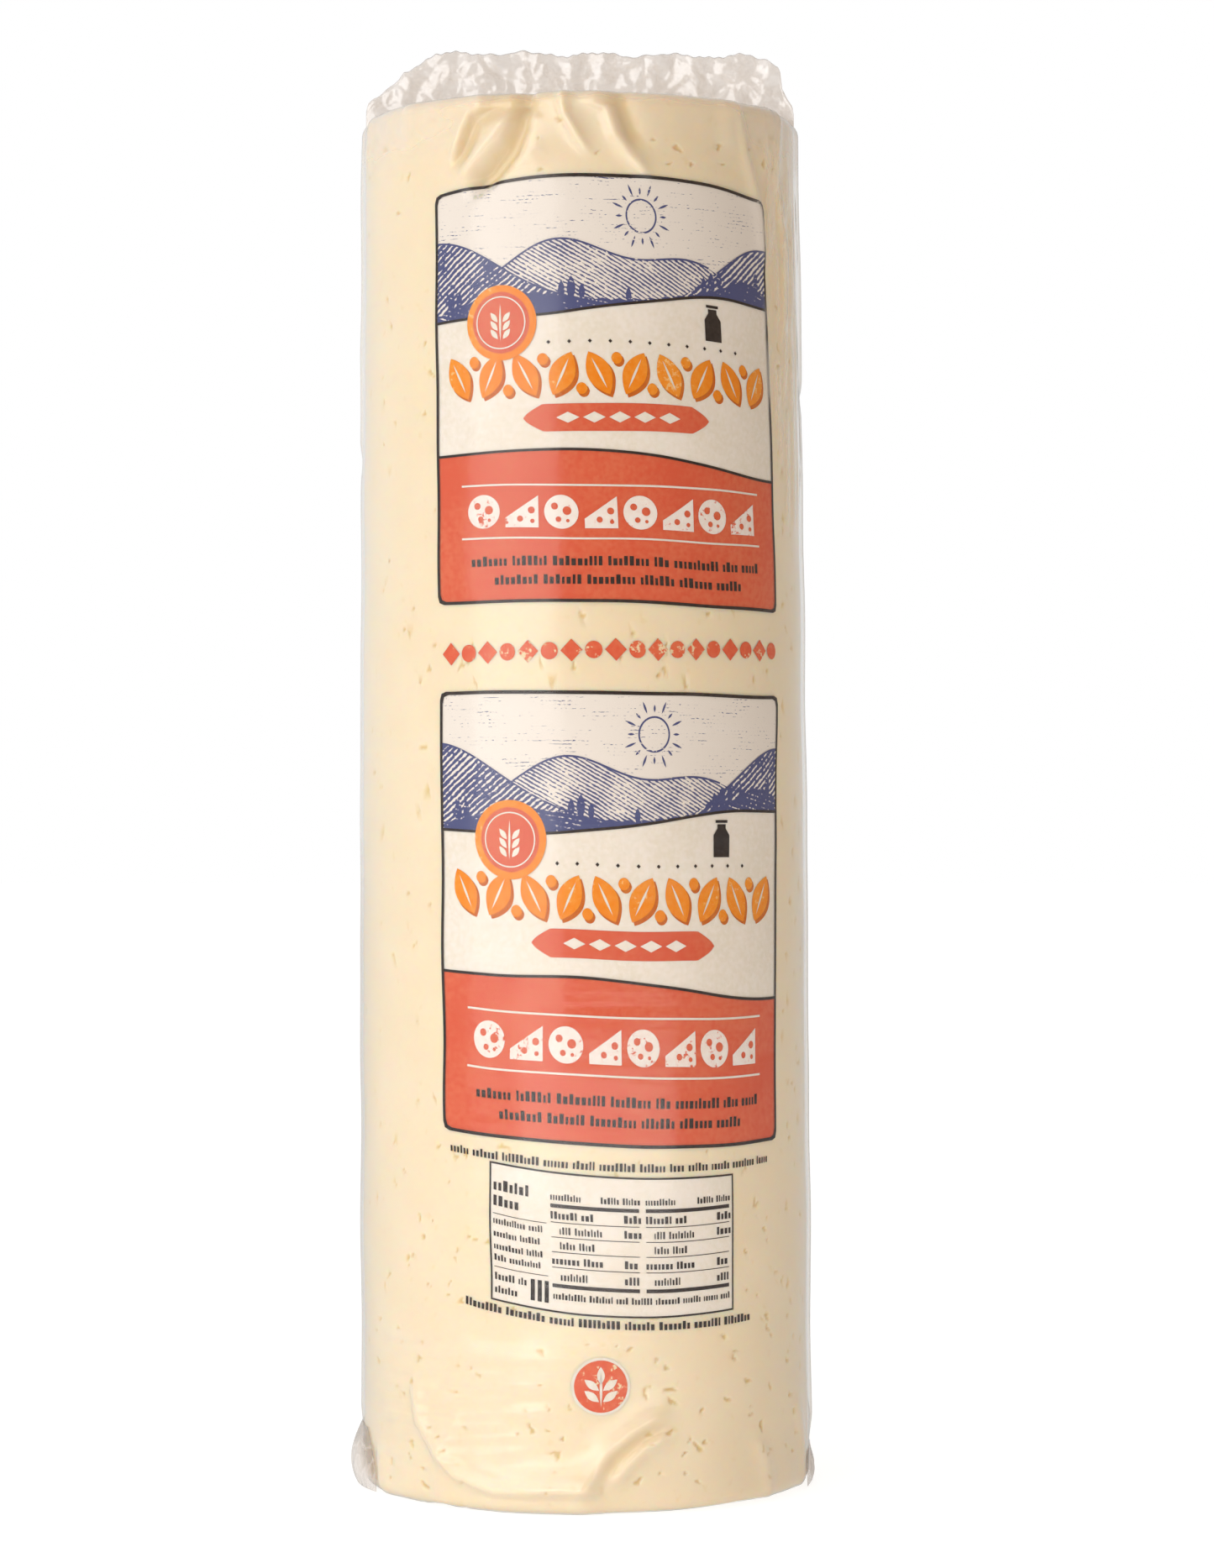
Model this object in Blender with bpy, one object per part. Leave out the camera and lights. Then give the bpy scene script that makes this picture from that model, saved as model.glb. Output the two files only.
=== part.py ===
"""A log of farmer cheese sealed in clear printed film, standing on its flat end.

Metres, +Z up. The origin is the middle of the flat end it stands on, and the printed side faces -Y.
Around the log, places are arc lengths measured from the front (-Y) towards +X.
"""

import math
from random import Random

import bpy
from mathutils import Vector, noise

MM = 0.001

# The log of cheese, with its film drawn tight on it
LOG_HEIGHT = 316 * MM
FOOT_RADIUS = 51.8 * MM
HEAD_RADIUS = 49.8 * MM
SLUMP_POWER = 2.2  # above 1, the widening from head to foot happens mostly near the head
HEAD_LEAN = -1.5 * MM  # how far the head stands to one side of the foot
HEAD_ROUND = 3.2 * MM
FOOT_ROUND = 3.5 * MM
ARC_RADIUS = 51 * MM  # arc lengths are taken at this radius
UNEVENNESS = 0.35 * MM
UNEVEN_SIZE = 24 * MM

# The foot: flat inside this radius, with its edge off the table on one side and at one fold
FLAT_RADIUS = 41 * MM
HEEL_LIFT = 1.8 * MM
HEEL_MIDDLE = 50 * MM
HEEL_HALF_WIDTH = 34 * MM
NOTCH_LIFT = 1.6 * MM
NOTCH_MIDDLE = -35.6 * MM
NOTCH_HALF_WIDTH = 5 * MM

# The film's folds on the side: their height, half-width, and route as (arc, height over the table)
HEAD_FOLDS = (
    (1.5 * MM, 2.4 * MM, ((-27, 313), (-20, 306), (-25, 301), (-30, 295))),
    (1.6 * MM, 2.6 * MM, ((-14, 314), (-17, 309), (-24, 301), (-31, 293))),
    (-1.3 * MM, 2.6 * MM, ((-11, 314), (-13, 305), (-20, 297), (-27, 292))),
    (1.5 * MM, 2.0 * MM, ((-13, 316), (-4, 315), (-3, 310), (0, 305), (4, 300))),
    (-1.0 * MM, 3.0 * MM, ((-9, 311), (-5, 310))),
    (1.3 * MM, 2.2 * MM, ((-1, 315), (6, 312), (8, 306), (11, 302), (17, 296))),
    (0.8 * MM, 2.0 * MM, ((40, 315), (43, 304), (48, 292), (50, 278))),
    (0.8 * MM, 1.8 * MM, ((58, 316), (55, 300), (60, 284), (58, 262))),
)
FOOT_FOLDS = (
    (1.6 * MM, 2.2 * MM, ((17, 22), (10, 18), (5, 14), (1, 8), (-2, 3))),
    (1.3 * MM, 1.8 * MM, ((18, 17), (13, 15), (9, 11), (5, 7))),
    (-0.8 * MM, 2.6 * MM, ((13, 17), (8, 12))),
    (1.2 * MM, 2.6 * MM, ((-42, 27), (-40, 19), (-35, 13), (-30, 8), (-20, 5), (0, 6))),
    (0.7 * MM, 2.0 * MM, ((0, 8), (-12, 8), (-24, 10))),
)
FOLD_FADE = 6 * MM  # a fold rises from nothing over this much of its route

# Smaller folds that run over the head's and the foot's edge, all round but for the front
EDGE_FOLDS = 26
EDGE_FOLD_CLEAR = 33 * MM  # half the front stretch that has its own folds
EDGE_FOLD_HEIGHT = 0.9 * MM
EDGE_FOLD_WIDTH = 2.3 * MM
EDGE_FOLD_REACH = 22 * MM
FIN_END_CLEAR = 7 * MM

# Pleats in the film across the flat head, running out from the fin
PLEAT_HEIGHT = 0.8 * MM
PLEAT_SPACING = 8.5 * MM
PLEAT_START = 6 * MM

# The fin: the ruffled seal of the pouch, standing across the head from side to side
GAP = 0.3 * MM
FIN_SIDE = 49.8 * MM
FIN_HEIGHT = 16.2 * MM
FIN_FACE = 1.3 * MM  # two films and the air in their crinkles
FIN_FLARE = 3.6 * MM
FIN_FLARE_HEIGHT = 1.7 * MM
RUFFLE_LENGTH = 9.5 * MM
RUFFLE_DEPTH = 2.7 * MM
SHOULDER_LEFT = 16 * MM
SHOULDER_RIGHT = 5.5 * MM
SHOULDER_HEIGHT = 4 * MM
FIN_TILT = 0.008  # the free edge's slope down towards +X

# The ears: corners of the pouch, shrunk against the side at the foot
EAR_LEFT = {"bulge": 2.4 * MM, "top": 11 * MM, "half_angle": 19}
EAR_RIGHT = {"bulge": 1.0 * MM, "top": 8 * MM, "half_angle": 14}
EAR_SKIN = 0.5 * MM
EAR_FOOT = 0.6 * MM

SIDE_ROWS = 37
END_CROWDING = 0.74  # 0 spaces the rows evenly, and near 1 they crowd to the head and the foot
COLUMNS = 92
FRONT_CROWDING = 0.34
ROUND_ROWS = 3
HEAD_RINGS = 9
FIN_COLUMNS = 66
FIN_ROWS = 6
EAR_COLUMNS = 9
EAR_ROWS = 7


def ease(x, start, end):
    """0 before start, 1 after end, and smooth between."""
    t = min(1.0, max(0.0, (x - start) / (end - start)))
    return t * t * (3 - 2 * t)


def bell(x, half_width):
    return math.exp(-((x / half_width) ** 2))


def side_radius(height):
    share = min(1.0, max(0.0, height / LOG_HEIGHT))
    return FOOT_RADIUS - (FOOT_RADIUS - HEAD_RADIUS) * share**SLUMP_POWER


def axis_x(height):
    return HEAD_LEAN * height / LOG_HEIGHT


def edge_folds():
    """The small folds over both edges, as (height, half-width, route) like the folds above."""
    draw = Random(7)
    circumference = math.tau * ARC_RADIUS
    open_stretch = circumference - 2 * EDGE_FOLD_CLEAR
    made = []
    for i in range(EDGE_FOLDS):
        arc = EDGE_FOLD_CLEAR + open_stretch * (i + draw.uniform(0.2, 0.8)) / EDGE_FOLDS
        if arc > circumference / 2:
            arc -= circumference
        if abs(abs(arc) - circumference / 4) < FIN_END_CLEAR:
            continue
        reach = EDGE_FOLD_REACH * draw.uniform(0.5, 1.2)
        drift = draw.uniform(-0.4, 0.4) * reach
        edge, way = (LOG_HEIGHT, -1) if i % 2 == 0 else (0.0, 1)
        route = tuple((arc + drift * t * t, edge + way * reach * t) for t in (0.0, 0.5, 1.0))
        made.append((EDGE_FOLD_HEIGHT * draw.uniform(0.6, 1.3), EDGE_FOLD_WIDTH, route))
    return made


def in_metres(folds):
    return [(h, w, tuple((a * MM, z * MM) for a, z in route)) for h, w, route in folds]


FOLDS = in_metres(HEAD_FOLDS) + in_metres(FOOT_FOLDS) + edge_folds()


def fold_height(arc, height, fold):
    """How far one fold lifts the film at this place."""
    top, half_width, route = fold
    nearest, along, travelled = 1.0, 0.0, 0.0
    for (a0, z0), (a1, z1) in zip(route, route[1:]):
        run, rise = a1 - a0, z1 - z0
        length = math.hypot(run, rise)
        t = ((arc - a0) * run + (height - z0) * rise) / length**2
        t = min(1.0, max(0.0, t))
        distance = math.hypot(arc - a0 - t * run, height - z0 - t * rise)
        if distance < nearest:
            nearest, along = distance, travelled + t * length
        travelled += length
    if nearest > 3 * half_width:
        return 0.0
    return top * bell(nearest, half_width) * ease(travelled - along, -1 * MM, FOLD_FADE)


def side_relief(angle, height):
    """How far the film stands out from the plain round side."""
    arc = angle * ARC_RADIUS
    spot = Vector((math.sin(angle), -math.cos(angle), height / ARC_RADIUS))
    uneven = UNEVENNESS * noise.noise(spot * (ARC_RADIUS / UNEVEN_SIZE))
    return uneven + sum(fold_height(arc, height, fold) for fold in FOLDS)


def pleats(x, y):
    """The height of the film's pleats on the flat head: they fan out from the fin."""
    away = ease(abs(y), PLEAT_START, 4 * PLEAT_START)
    fan = x / (1 + 0.012 * abs(y) / MM)
    wave = math.sin(math.tau * fan / PLEAT_SPACING + math.copysign(1.3, y))
    slow = 0.6 + 0.4 * math.sin(math.tau * fan / (2.7 * PLEAT_SPACING))
    return PLEAT_HEIGHT * away * slow * max(0.0, wave)


def foot_lift(angle):
    """How far the foot's edge is off the table."""
    arc = angle * ARC_RADIUS
    heel = HEEL_LIFT * bell(arc - HEEL_MIDDLE, HEEL_HALF_WIDTH)
    return heel + NOTCH_LIFT * bell(arc - NOTCH_MIDDLE, NOTCH_HALF_WIDTH)


def log_point(angle, radius, height):
    return Vector((axis_x(height) + radius * math.sin(angle), -radius * math.cos(angle), height))


def column_angle(column):
    turn = math.tau * column / COLUMNS - math.pi
    return turn - FRONT_CROWDING * math.sin(turn)


def side_height(row):
    share = row / SIDE_ROWS
    share -= END_CROWDING * math.sin(math.tau * share) / math.tau
    return FOOT_ROUND + (LOG_HEIGHT - HEAD_ROUND - FOOT_ROUND) * share


def log_column(angle):
    """One column of the log's points, from the flat foot up the side to near the head's middle."""
    points = [log_point(angle, FLAT_RADIUS, 0.0)]
    foot_out = side_radius(FOOT_ROUND) + side_relief(angle, FOOT_ROUND)
    lift = foot_lift(angle)
    for step in range(ROUND_ROWS):
        turn = 0.5 * math.pi * step / ROUND_ROWS
        radius = foot_out - FOOT_ROUND * (1 - math.sin(turn))
        height = max(lift * math.cos(turn), FOOT_ROUND * (1 - math.cos(turn)))
        points.append(log_point(angle, radius, height))
    for row in range(SIDE_ROWS + 1):
        height = side_height(row)
        points.append(log_point(angle, side_radius(height) + side_relief(angle, height), height))
    rim_height = LOG_HEIGHT - HEAD_ROUND
    head_out = side_radius(rim_height) + side_relief(angle, rim_height) - HEAD_ROUND
    for step in range(1, ROUND_ROWS + 1):
        turn = 0.5 * math.pi * step / ROUND_ROWS
        radius = head_out + HEAD_ROUND * math.cos(turn)
        points.append(log_point(angle, radius, rim_height + HEAD_ROUND * math.sin(turn)))
    for ring in range(1, HEAD_RINGS):
        radius = head_out * (1 - ring / HEAD_RINGS)
        point = log_point(angle, radius, LOG_HEIGHT)
        inside = ease(ring / HEAD_RINGS, 0.0, 0.15)
        point.z += pleats(point.x, point.y) * inside
        points.append(point)
    return points


def new_object(name, points, faces, material):
    mesh = bpy.data.meshes.new(name)
    mesh.from_pydata(points, [], faces)
    mesh.materials.append(material)
    mesh.shade_smooth()
    mesh.set_sharp_from_angle(angle=math.radians(50))
    made = bpy.data.objects.new(name, mesh)
    bpy.context.scene.collection.objects.link(made)
    return made


def make_log(material):
    """The cheese with its tight film, closed by a flat foot and by a fan of faces on the head."""
    columns = [log_column(column_angle(c)) for c in range(COLUMNS)]
    rows = len(columns[0])
    points = [columns[c][r] for r in range(rows) for c in range(COLUMNS)]
    faces = [tuple(range(COLUMNS))[::-1]]
    for r in range(rows - 1):
        ring, upper = r * COLUMNS, (r + 1) * COLUMNS
        for c in range(COLUMNS):
            after = (c + 1) % COLUMNS
            faces.append((ring + c, ring + after, upper + after, upper + c))
    points.append(Vector((axis_x(LOG_HEIGHT), 0.0, LOG_HEIGHT)))
    last = (rows - 1) * COLUMNS
    faces += [(last + c, last + (c + 1) % COLUMNS, rows * COLUMNS) for c in range(COLUMNS)]
    return new_object("cheese_log", points, faces, material)


def slab(name, front, back, material):
    """A closed solid between two like grids of points, whose faces are split into triangles alike."""
    rows, columns = len(front), len(front[0])
    size = rows * columns
    points = [p for row in front for p in row] + [p for row in back for p in row]
    faces = []
    for r in range(rows - 1):
        for c in range(columns - 1):
            a, b = r * columns + c, r * columns + c + 1
            d, e = a + columns, b + columns
            faces += [(a, b, e), (a, e, d)]
            faces += [(size + b, size + a, size + e), (size + e, size + a, size + d)]
    border = list(range(columns))
    border += [r * columns + columns - 1 for r in range(1, rows)]
    border += [(rows - 1) * columns + c for c in range(columns - 2, -1, -1)]
    border += [r * columns for r in range(rows - 2, 0, -1)]
    for a, b in zip(border, border[1:] + border[:1]):
        faces += [(b, a, size + a), (b, size + a, size + b)]
    return new_object(name, points, faces, material)


def fin_base(x):
    """The fin's lower edge, clear of the log's head, whose rounded edge it follows down at both sides."""
    rim_height = LOG_HEIGHT - HEAD_ROUND
    log_side = side_radius(rim_height) + side_relief(math.copysign(0.5 * math.pi, x), rim_height)
    over = max(0.0, abs(x) - (log_side - HEAD_ROUND))
    return rim_height + math.sqrt(max(0.0, (HEAD_ROUND + GAP) ** 2 - over**2))


def fin_top(x):
    """The fin's free edge: a shoulder at each side, and between them an uneven, wavy line."""
    left = ease(x, -FIN_SIDE - 2 * MM, -FIN_SIDE + SHOULDER_LEFT) ** 0.8
    right = ease(-x, -FIN_SIDE - 1 * MM, -FIN_SIDE + SHOULDER_RIGHT)
    full = min(left, right)
    slow = 0.5 * MM * math.sin(math.tau * x / (17 * MM))
    quick = 0.35 * MM * math.sin(math.tau * x / (7.3 * MM) + 1)
    rise = SHOULDER_HEIGHT + (FIN_HEIGHT - SHOULDER_HEIGHT) * full
    return LOG_HEIGHT + rise + (slow + quick - FIN_TILT * x) * full


def fin_line(x, share):
    """How far the ruffled fin swings in depth: most at its free edge, and not at its two ends."""
    phase = math.tau * x / RUFFLE_LENGTH + 1.4 * math.sin(math.tau * x / (41 * MM))
    swing = 0.7 + 0.3 * math.sin(math.tau * x / (23 * MM) + 2)
    ends = ease(FIN_SIDE - abs(x), 0.0, 7 * MM)
    return RUFFLE_DEPTH * (0.35 + 0.65 * share) * swing * ends * math.sin(phase)


def make_fin(material):
    front, back = [], []
    for row in range(FIN_ROWS + 1):
        share = (row / FIN_ROWS) ** 1.6
        near, far = [], []
        for column in range(FIN_COLUMNS + 1):
            x = FIN_SIDE * (2 * column / FIN_COLUMNS - 1)
            base = fin_base(x)
            rise = (fin_top(x) - base) * share
            flare = FIN_FLARE * math.exp(-rise / FIN_FLARE_HEIGHT)
            half = 0.5 * FIN_FACE + flare * ease(FIN_SIDE - abs(x), -2 * MM, 8 * MM)
            depth = fin_line(x, share)
            centre = x + axis_x(LOG_HEIGHT)
            near.append(Vector((centre, depth - half, base + rise)))
            far.append(Vector((centre, depth + half, base + rise)))
        front.append(near)
        back.append(far)
    return slab("film_fin", front, back, material)


def make_ear(name, side, bulge, top, half_angle, material):
    """One shrunken pouch corner: a low blister on the side at the foot, with its skin clear of the log."""
    middle = side * 0.5 * math.pi
    outer, inner = [], []
    for row in range(EAR_ROWS + 1):
        share = row / EAR_ROWS
        out_row, in_row = [], []
        for column in range(EAR_COLUMNS + 1):
            across = 2 * column / EAR_COLUMNS - 1
            angle = middle + math.radians(half_angle) * across * (1 - 0.45 * share**2)
            height = EAR_FOOT + (top - EAR_FOOT) * share
            log_side = side_radius(height) + side_relief(angle, height) + 2 * GAP
            upward = math.sin(math.pi * (0.12 + 0.88 * share) ** 0.8)
            swell = max(0.0, bulge * upward * math.cos(0.5 * math.pi * across))
            out_row.append(log_point(angle, log_side + EAR_SKIN + swell, height))
            in_row.append(log_point(angle, log_side, height))
        outer.append(out_row)
        inner.append(in_row)
    return slab(name, outer, inner, material)


def new_material(name, colour, roughness):
    material = bpy.data.materials.new(name)
    material.use_nodes = True
    shader = material.node_tree.nodes["Principled BSDF"]
    shader.inputs["Base Color"].default_value = (*colour, 1.0)
    shader.inputs["Roughness"].default_value = roughness
    material.diffuse_color = (*colour, 1.0)
    return material


def main():
    for left_over in list(bpy.data.objects):
        bpy.data.objects.remove(left_over)
    cheese = new_material("cheese under film", (0.90, 0.79, 0.56), 0.3)
    film = new_material("crinkled clear film", (0.80, 0.76, 0.73), 0.2)
    make_log(cheese)
    make_fin(film)
    make_ear("film_ear_left", -1, material=film, **EAR_LEFT)
    make_ear("film_ear_right", 1, material=film, **EAR_RIGHT)


main()
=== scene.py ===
"""A log of farmer cheese in clear printed film, standing on its flat end: the looks.

Metres, +Z up, printed side towards -Y. Places on the side are (arc, height): the arc length from the front
towards +X, and the height over the table.
"""

import math
from random import Random

import bmesh
import bpy
import numpy as np
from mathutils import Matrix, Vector, noise


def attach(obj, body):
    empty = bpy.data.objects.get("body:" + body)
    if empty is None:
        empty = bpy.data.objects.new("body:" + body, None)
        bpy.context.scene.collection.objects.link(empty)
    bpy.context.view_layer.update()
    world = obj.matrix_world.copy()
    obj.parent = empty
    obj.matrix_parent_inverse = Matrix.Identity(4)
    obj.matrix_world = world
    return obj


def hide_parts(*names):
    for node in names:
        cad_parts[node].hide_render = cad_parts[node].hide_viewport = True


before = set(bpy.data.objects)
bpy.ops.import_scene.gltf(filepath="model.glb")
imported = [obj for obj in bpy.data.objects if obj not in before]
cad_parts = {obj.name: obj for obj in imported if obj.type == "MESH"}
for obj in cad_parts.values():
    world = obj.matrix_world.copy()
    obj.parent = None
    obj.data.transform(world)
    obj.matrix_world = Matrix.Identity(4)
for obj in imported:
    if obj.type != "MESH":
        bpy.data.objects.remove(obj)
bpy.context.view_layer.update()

# The cheese: a log of pressed curd that set in its film, so every fold of the film is pressed into it. Small
# openings between the curds show all over it, most of them towards the foot and on the side away from the light.
MM = 0.001
LOG_HEIGHT, FOOT_RADIUS, HEAD_RADIUS, SLUMP_POWER = 316 * MM, 51.8 * MM, 49.8 * MM, 2.2
HEAD_LEAN, HEAD_ROUND, FOOT_ROUND = -1.5 * MM, 3.2 * MM, 3.5 * MM
ARC_RADIUS = 51 * MM
ROUND_THE_LOG = math.tau * ARC_RADIUS
UNEVENNESS, UNEVEN_SIZE = 0.35 * MM, 24 * MM
HEEL_LIFT, HEEL_MIDDLE, HEEL_HALF_WIDTH = 1.8 * MM, 50 * MM, 34 * MM
NOTCH_LIFT, NOTCH_MIDDLE, NOTCH_HALF_WIDTH = 1.6 * MM, -35.6 * MM, 5 * MM
UNDER_FILM = 0.34 * MM
OPENINGS, OPENING_DEPTH = 1150, 0.4 * MM
STEEP_SHARE, CREST_ROUND, GROOVE_CRISPNESS = 0.48, 0.4 * MM, 2.2

# Folds of the film: (height, half-width, route, steep side) in mm, the route being places on the side
FRONT_FOLDS = [
    (0.8, 1.5, ((-16, 314.5), (-23, 313.4), (-28, 309), (-32, 300)), "right"),
    (-1.7, 2.3, ((-14, 313), (-20.4, 312), (-25, 310.6), (-27, 305.5), (-31, 298.5)), "left"),
    (1.9, 2.3, ((-14, 312.5), (-19.4, 306.4), (-24.7, 301.1), (-30, 295.5)), ""),
    (-2.7, 2.7, ((-12, 315), (-13, 308), (-15.4, 302.5), (-20, 297.6), (-27, 293.2)), "right"),
    (0.8, 3.2, ((-9, 309), (-10.5, 303), (-15, 297.5)), "left"),
    (-1.5, 2.1, ((-10.5, 312.6), (-5.6, 311.4)), "above"),
    (1.6, 1.5, ((-12, 315.4), (-4.3, 315), (-3.4, 310.6), (-0.7, 305.9), (2.6, 301)), "left"),
    (1.4, 2.2, ((-1, 315), (6, 312), (8, 306), (11, 302), (17, 296)), "left"),
    (-0.8, 1.8, ((3, 316), (9.5, 313.6), (12, 307), (15.5, 302)), ""),
    (0.8, 2.0, ((40, 315), (43, 304), (48, 292), (50, 278)), "right"),
    (0.9, 1.8, ((58, 316), (55, 300), (60, 284), (58, 262)), "left"),
    (1.4, 2.7, ((21, 24), (10, 18), (5, 14), (1, 8), (-3, 1)), ""),
    (1.0, 1.9, ((22, 19), (13, 15), (9, 11), (4, 5)), ""),
    (-0.7, 1.6, ((20, 22), (11.5, 16.4), (7, 12.4), (3, 7)), ""),
    (1.6, 2.5, ((-43, 31), (-40, 19), (-35, 13), (-30, 8), (-20, 5), (4, 6)), "below"),
    (0.6, 2.2, ((6, 8), (-12, 8), (-28, 11)), ""),
]


def edge_folds():
    """Small folds that run over the head's and the foot's edge, all round but for the front."""
    draw, made = Random(7), []
    clear, count = 33, 26
    open_stretch = ROUND_THE_LOG / MM - 2 * clear
    for i in range(count):
        arc = clear + open_stretch * (i + draw.uniform(0.2, 0.8)) / count
        if arc > ROUND_THE_LOG / MM / 2:
            arc -= ROUND_THE_LOG / MM
        if abs(abs(arc) - ROUND_THE_LOG / MM / 4) < 7:
            continue
        reach = 22 * draw.uniform(0.5, 1.2)
        drift = draw.uniform(-0.4, 0.4) * reach
        edge, way = (LOG_HEIGHT / MM, -1) if i % 2 == 0 else (0.0, 1)
        route = tuple((arc + drift * t * t, edge + way * reach * t) for t in (0.0, 0.5, 1.0))
        made.append((0.9 * draw.uniform(0.6, 1.3), 2.3, route, ""))
    return made


def ease(x, start, end):
    """0 before start, 1 after end, and smooth between."""
    t = np.clip((x - start) / (end - start), 0, 1)
    return t * t * (3 - 2 * t)


def bell(x, half_width):
    return np.exp(-((x / half_width) ** 2))


def beside(arc, middle):
    """The arc from middle, the short way round the log."""
    return (arc - middle + ROUND_THE_LOG / 2) % ROUND_THE_LOG - ROUND_THE_LOG / 2


def fold_strength(arc, height, fold, crispness=1.35):
    """How far one fold stands out at these places, as a share of its full height. It falls off faster on its
    steep side, and fades in where it doesn't start at an edge. A groove has a flat bottom and steep walls."""
    crispness = GROOVE_CRISPNESS if fold[0] < 0 else crispness
    half_width, route = fold[1] * MM, [(a * MM, z * MM) for a, z in fold[2]]
    nearest, along, travelled = np.full_like(arc, 1.0), np.zeros_like(arc), 0.0
    off_across, off_up = np.zeros_like(arc), np.zeros_like(arc)
    for (a0, z0), (a1, z1) in zip(route, route[1:]):
        run, rise = a1 - a0, z1 - z0
        length = math.hypot(run, rise)
        across, up = beside(arc, a0), height - z0
        t = np.clip((across * run + up * rise) / length**2, 0, 1)
        distance = np.hypot(across - t * run, up - t * rise)
        closer = distance < nearest
        off_across, off_up = np.where(closer, across - t * run, off_across), np.where(closer, up - t * rise, off_up)
        along = np.where(closer, travelled + t * length, along)
        nearest = np.minimum(nearest, distance)
        travelled += length
    steep = {"right": off_across > 0, "left": off_across < 0, "above": off_up > 0, "below": off_up < 0}
    half_width = half_width * np.where(steep.get(fold[3], False), STEEP_SHARE, 1.0)
    crest = np.sqrt(nearest**2 + CREST_ROUND**2) - CREST_ROUND
    starts = ease(along, 0.0, 8 * MM) if 4 * MM < route[0][1] < 311 * MM else 1.0
    return np.exp(-((crest / half_width) ** crispness)) * starts * ease(travelled - along, -1 * MM, 6 * MM)


def side_radius(height):
    share = np.clip(height / LOG_HEIGHT, 0, 1)
    return FOOT_RADIUS - (FOOT_RADIUS - HEAD_RADIUS) * share**SLUMP_POWER


def slow_noise(arc, height, size, seed=0.0):
    """Smooth noise between -1 and 1 on the side, without a seam where it closes behind."""
    angle = arc / ARC_RADIUS
    points = np.stack([np.sin(angle), -np.cos(angle), height / ARC_RADIUS], axis=1) * (ARC_RADIUS / size)
    return np.array([noise.noise(Vector(p) + Vector((seed, seed, 0.0))) for p in points])


def side_relief(arc, height):
    total = UNEVENNESS * slow_noise(arc, height, UNEVEN_SIZE)
    for fold in FOLDS:
        total += fold[0] * MM * fold_strength(arc, height, fold)
    return total


def on_side(arc, height, out):
    """Places on the side as points, standing out from the film by `out` (negative is under it)."""
    radius = side_radius(height) + side_relief(arc, height) + out
    angle = arc / ARC_RADIUS
    lean = HEAD_LEAN * height / LOG_HEIGHT
    return np.stack([lean + radius * np.sin(angle), -radius * np.cos(angle), height], axis=1)


def log_profile(side_rows, end_rings, round_rows, crowding):
    """Rows from the foot's middle up the side to the head's: (share of an end's radius, inset from the side,
    height at which the side is measured, height of the row)."""
    rim = LOG_HEIGHT - HEAD_ROUND
    turns = [0.5 * math.pi * i / round_rows for i in range(round_rows + 1)]
    rows = [(i / end_rings, FOOT_ROUND, FOOT_ROUND, 0.0) for i in range(end_rings)]
    rows += [(1.0, FOOT_ROUND * (1 - math.sin(turn)), FOOT_ROUND, FOOT_ROUND * (1 - math.cos(turn)))
             for turn in turns[:-1]]
    for i in range(side_rows + 1):
        share = i / side_rows
        height = FOOT_ROUND + (rim - FOOT_ROUND) * (share - crowding * math.sin(math.tau * share) / math.tau)
        rows.append((1.0, 0.0, height, height))
    rows += [(1.0, HEAD_ROUND * (1 - math.cos(turn)), rim, rim + HEAD_ROUND * math.sin(turn)) for turn in turns[1:]]
    rows += [(1 - i / end_rings, HEAD_ROUND, rim, LOG_HEIGHT) for i in range(1, end_rings + 1)]
    return np.array(rows)


def add_grid(name, columns, rows):
    """A flat grid from 0 to 1 both ways, as the start of a piece."""
    bpy.ops.object.select_all(action="DESELECT")
    bpy.ops.mesh.primitive_grid_add(x_subdivisions=columns, y_subdivisions=rows, size=1, location=(0.5, 0.5, 0))
    bpy.ops.object.transform_apply(location=True, rotation=False, scale=False)
    piece = bpy.context.object
    piece.name = piece.data.name = name
    return piece


def refine(piece, wanted, cuts):
    """Cuts a flat grid's faces finer between the points that are wanted."""
    bpy.ops.object.mode_set(mode="EDIT")
    bpy.ops.mesh.select_mode(type="VERT")
    bpy.ops.mesh.select_all(action="DESELECT")
    shape = bmesh.from_edit_mesh(piece.data)
    for point, chosen in zip(shape.verts, wanted):
        point.select = bool(chosen)
    shape.select_flush(True)
    bmesh.update_edit_mesh(piece.data)
    bpy.ops.mesh.subdivide(number_cuts=cuts)
    bpy.ops.object.mode_set(mode="OBJECT")


def read_points(piece):
    flat = np.empty(3 * len(piece.data.vertices))
    piece.data.vertices.foreach_get("co", flat)
    return flat.reshape(-1, 3)


def write_points(piece, points):
    piece.data.vertices.foreach_set("co", np.ascontiguousarray(points, dtype=np.float32).ravel())
    piece.data.update()


def write_values(piece, name, values):
    """A number at each point, for the piece's material to read."""
    made = piece.data.attributes.new(name, "FLOAT", "POINT")
    made.data.foreach_set("value", np.ascontiguousarray(values, dtype=np.float32))


def close_seams(piece, solid=True):
    """Joins the points that came together and smooths the faces, and closes a solid with its faces out."""
    bpy.ops.object.select_all(action="DESELECT")
    piece.select_set(True)
    bpy.context.view_layer.objects.active = piece
    bpy.ops.object.mode_set(mode="EDIT")
    bpy.ops.mesh.select_all(action="SELECT")
    bpy.ops.mesh.remove_doubles(threshold=0.002 * MM)
    if solid:
        bpy.ops.mesh.fill_holes(sides=0)
        bpy.ops.mesh.normals_make_consistent(inside=False)
    bpy.ops.object.mode_set(mode="OBJECT")
    bpy.ops.object.shade_smooth()


def log_places(grid, profile, front_crowding):
    """A flat grid's points as (arc, row's four values), so that the grid closes round the log."""
    turn = math.tau * grid[:, 0] - math.pi
    arc = ARC_RADIUS * (turn - front_crowding * np.sin(turn))
    row = grid[:, 1] * (len(profile) - 1)
    values = [np.interp(row, np.arange(len(profile)), profile[:, k]) for k in range(4)]
    return arc, *values


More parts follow.
